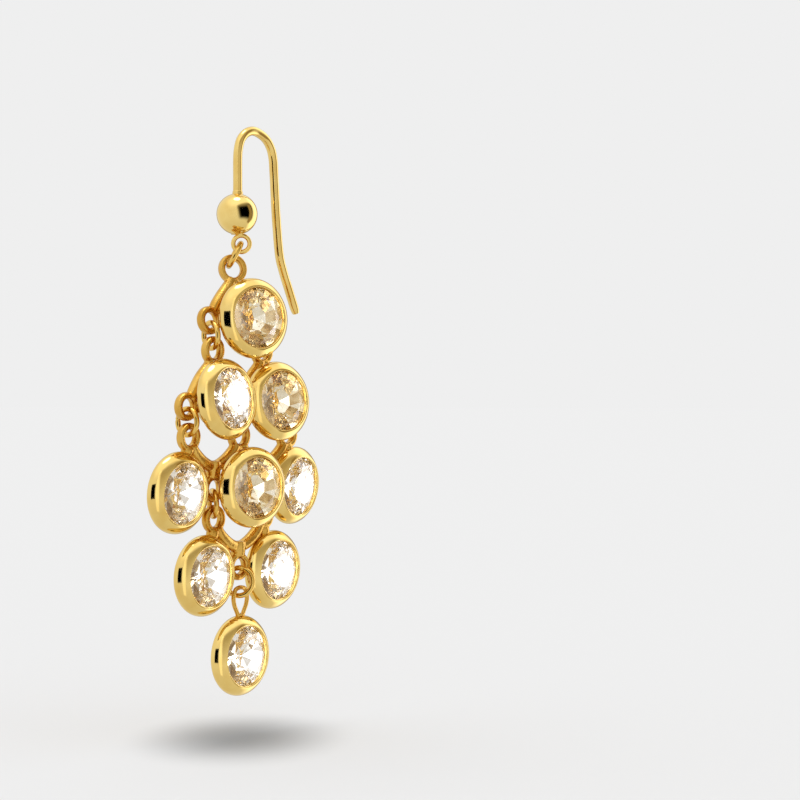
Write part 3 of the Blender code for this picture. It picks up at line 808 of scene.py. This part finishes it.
def card(name, distance, azimuth, elevation, half_width, half_height, soft, low, high, over, seen_by):
    """A patch of the tent that only the pieces named in seen_by reflect.

    Where over is true it shows its own tone alone, else it adds light to what is behind it. Its tone runs
    from low at its foot to high at its head, and its edges are soft. Angles are in degrees.
    """
    mat, tree = new_material(name)
    place = add(tree, "ShaderNodeSeparateXYZ", {0: add(tree, "ShaderNodeTexCoord").outputs["UV"]}).outputs
    edges = []
    for axis, half in (("X", half_width), ("Y", half_height)):
        away = add(tree, "ShaderNodeMath", {0: place[axis], 1: 0.5}, operation="SUBTRACT").outputs[0]
        away = add(tree, "ShaderNodeMath", {0: away}, operation="ABSOLUTE").outputs[0]
        edges.append(add(tree, "ShaderNodeMapRange",
                         {"Value": away, "From Min": 0.5 - 0.5 * soft / half, "From Max": 0.5,
                          "To Min": 1.0, "To Max": 0.0}, interpolation_type="SMOOTHSTEP").outputs["Result"])
    mask = add(tree, "ShaderNodeMath", {0: edges[0], 1: edges[1]}, operation="MULTIPLY").outputs[0]
    tone = add(tree, "ShaderNodeValToRGB", {"Fac": place["Y"]},
               stops=((CARD_FOOT, low), (CARD_HEAD, high))).outputs["Color"]
    clear = add(tree, "ShaderNodeBsdfTransparent").outputs[0]
    if over:
        light = add(tree, "ShaderNodeEmission", {"Color": tone}).outputs[0]
        both = add(tree, "ShaderNodeMixShader", {0: mask, 1: clear, 2: light})
    else:
        light = add(tree, "ShaderNodeEmission", {"Color": tone, "Strength": mask}).outputs[0]
        both = add(tree, "ShaderNodeAddShader", {0: light, 1: clear})
    add(tree, "ShaderNodeOutputMaterial", {"Surface": both.outputs[0]})
    obj = stage_piece(name, card_shape(distance, azimuth, elevation, half_width, half_height), mat)
    obj.visible_camera = False
    obj.visible_diffuse = False
    obj.visible_shadow = False
    group = bpy.data.collections.new(name + " lights")
    for piece in bpy.context.scene.objects:
        if piece.name.startswith(seen_by):
            group.objects.link(piece)
    obj.light_linking.receiver_collection = group


# tones of light, as linear numbers, because some are brighter than white
TENT_TONE = (0.95, 0.95, 0.95, 1.0)
KHAKI_TONE = (0.52, 0.47, 0.36, 1.0)
BROWN_TONE = (0.36, 0.28, 0.17, 1.0)
STREAK_TONE = (0.42, 0.42, 0.40, 1.0)
PANEL_TONE = (5.8, 5.9, 6.3, 1.0)
FILL_TONE = (0.24, 0.25, 0.28, 1.0)
WINDOW_TONE = (2.2, 2.2, 2.3, 1.0)
# which pieces a card is seen by, from the starts of their names
STONES = ("cut_stone_",)
RIMS = ("bezel_",)
RINGS = ("link_", "top_link")
ALL = ("hook_", "frame_") + RIMS + RINGS + STONES
ALL_BUT_BALL = ("hook_wire", "hook_tail", "frame_") + RIMS + RINGS + STONES
LEFT_PIECES = ("hook_ball", "hook_wire", "frame_") + STONES
# nearest first: name, azimuth, elevation, half width, half height and soft edge in degrees,
# tone at foot and head, over, seen by
CARDS = (
    ("stone_panel", 60.5, 4.0, 9.5, 26.0, 2.0, PANEL_TONE, PANEL_TONE, False, STONES),
    ("stone_fill", -14.0, 20.0, 42.0, 50.0, 8.0, FILL_TONE, FILL_TONE, False, STONES),
    ("stone_window", -42.0, 8.0, 16.0, 24.0, 2.0, WINDOW_TONE, WINDOW_TONE, False, STONES),
    ("rim_streak", -47.0, 0.0, 9.0, 50.0, 4.0, STREAK_TONE, STREAK_TONE, False, RIMS),
    ("left_card", -78.0, 0.0, 20.0, 19.0, 2.5, TENT_TONE, TENT_TONE, True, LEFT_PIECES),
    ("khaki_card", 36.0, 0.0, 13.0, 42.0, 5.0, BROWN_TONE, BROWN_TONE, True, ALL),
    ("front_card", 9.0, 9.0, 60.0, 47.0, 26.0, TENT_TONE, KHAKI_TONE, True, ALL_BUT_BALL),
)
# the nearest card is one metre away, and each next one this share further
CARD_GAP = 0.05
CARD_STEPS = 12
# shares of a card's height between which its tone changes
CARD_FOOT = 0.2
CARD_HEAD = 0.8


def soft_patch(tree, way, azimuth, elevation, half_width, half_height, soft):
    """A mask for a patch of the tent seen in a direction, given in degrees, with soft edges."""
    a, e = radians(azimuth), radians(elevation)
    front = Vector((sin(a) * cos(e), -cos(a) * cos(e), sin(e)))
    side = Vector((cos(a), sin(a), 0.0))
    up = side.cross(front)
    if up.z < 0:
        up = -up
    ahead = add(tree, "ShaderNodeVectorMath", {0: way, 1: front}, operation="DOT_PRODUCT").outputs["Value"]
    whole = add(tree, "ShaderNodeMath", {0: ahead, 1: 0.01}, operation="GREATER_THAN").outputs[0]
    for axis, half in ((side, half_width), (up, half_height)):
        aside = add(tree, "ShaderNodeVectorMath", {0: way, 1: axis}, operation="DOT_PRODUCT").outputs["Value"]
        angle = add(tree, "ShaderNodeMath", {0: aside, 1: ahead}, operation="ARCTAN2").outputs[0]
        away = add(tree, "ShaderNodeMath", {0: angle}, operation="ABSOLUTE").outputs[0]
        edge = add(tree, "ShaderNodeMapRange",
                   {"Value": away, "From Min": radians(half - soft), "From Max": radians(half + soft),
                    "To Min": 1.0, "To Max": 0.0}).outputs["Result"]
        whole = add(tree, "ShaderNodeMath", {0: whole, 1: edge}, operation="MULTIPLY").outputs[0]
    return whole


# tone of the tent from straight down (0) to straight up (1)
TENT_RAMP = (
    (0.0, (0.78, 0.76, 0.70, 1.0)), (0.3, (0.91, 0.91, 0.90, 1.0)),
    (0.5, (0.94, 0.94, 0.94, 1.0)), (1.0, (1.08, 1.08, 1.08, 1.0)),
)
# azimuth, elevation, half width, half height and soft edge in degrees, tone of the tent there
PATCHES = (
    (78.0, 5.0, 30.0, 50.0, 8.0, (1.8, 1.8, 1.8, 1.0)),
    (-30.0, 78.0, 40.0, 30.0, 14.0, (1.35, 1.35, 1.35, 1.0)),
    (5.0, 22.0, 42.0, 34.0, 5.0, (0.50, 0.46, 0.38, 1.0)),
    (127.5, 0.0, 28.0, 26.0, 12.0, (0.40, 0.35, 0.22, 1.0)),
)


def studio():
    """White tent with brighter and darker patches for gloss, even light for the floor, and an overhead lamp."""
    world = bpy.data.worlds.new("studio")
    bpy.context.scene.world = world
    world.cycles.sampling_method = "NONE"
    world.use_nodes = True
    tree = world.node_tree
    tree.nodes.clear()
    way = add(tree, "ShaderNodeTexCoord").outputs["Generated"]
    height = add(tree, "ShaderNodeSeparateXYZ", {0: way}).outputs["Z"]
    share = add(tree, "ShaderNodeMapRange", {"Value": height, "From Min": -1.0, "From Max": 1.0}).outputs["Result"]
    colour = add(tree, "ShaderNodeValToRGB", {"Fac": share}, stops=TENT_RAMP).outputs["Color"]
    for *patch, tone in PATCHES:
        mask = soft_patch(tree, way, *patch)
        colour = add(tree, "ShaderNodeMix", {"Factor": mask, "A": colour, "B": tone},
                     data_type="RGBA").outputs["Result"]
    tent = add(tree, "ShaderNodeBackground", {"Color": colour, "Strength": 1.0})
    even = add(tree, "ShaderNodeBackground", {"Color": EVEN_TONE, "Strength": 1.0})
    wall = add(tree, "ShaderNodeBackground", {"Color": BACKDROP, "Strength": 1.0})
    seen = add(tree, "ShaderNodeLightPath").outputs
    first = add(tree, "ShaderNodeMixShader", {0: seen["Is Diffuse Ray"], 1: tent.outputs[0], 2: even.outputs[0]})
    second = add(tree, "ShaderNodeMixShader", {0: seen["Is Camera Ray"], 1: first.outputs[0], 2: wall.outputs[0]})
    add(tree, "ShaderNodeOutputWorld", {"Surface": second.outputs[0]})
    lamp = bpy.data.lights.new("overhead lamp", "SUN")
    lamp.energy = LAMP
    lamp.angle = LAMP_WIDE
    above = bpy.data.objects.new("overhead lamp", lamp)
    bpy.context.scene.collection.objects.link(above)
    above.location = (0.0, 0.0, LAMP_UP)


def camera():
    """A long lens, level, from the earring's left front."""
    data = bpy.data.cameras.new("camera")
    data.lens = LENS
    data.sensor_width = SENSOR
    data.clip_start, data.clip_end = CLIP
    obj = bpy.data.objects.new("camera", data)
    obj.location = CAMERA_AT
    obj.rotation_mode = "QUATERNION"
    obj.rotation_quaternion = CAMERA_LOOK.to_track_quat("-Z", "Y")
    bpy.context.scene.collection.objects.link(obj)
    bpy.context.scene.camera = obj


floor()
studio()
for ORDER, (NAME, *REST) in enumerate(CARDS):
    card(NAME, 1.0 + CARD_GAP * ORDER, *REST)
camera()
bpy.context.scene.view_settings.view_transform = "Standard"
bpy.context.scene.cycles.max_bounces = STONE_BOUNCES
bpy.context.scene.cycles.glossy_bounces = GLOSS_BOUNCES
bpy.context.scene.cycles.transmission_bounces = STONE_BOUNCES
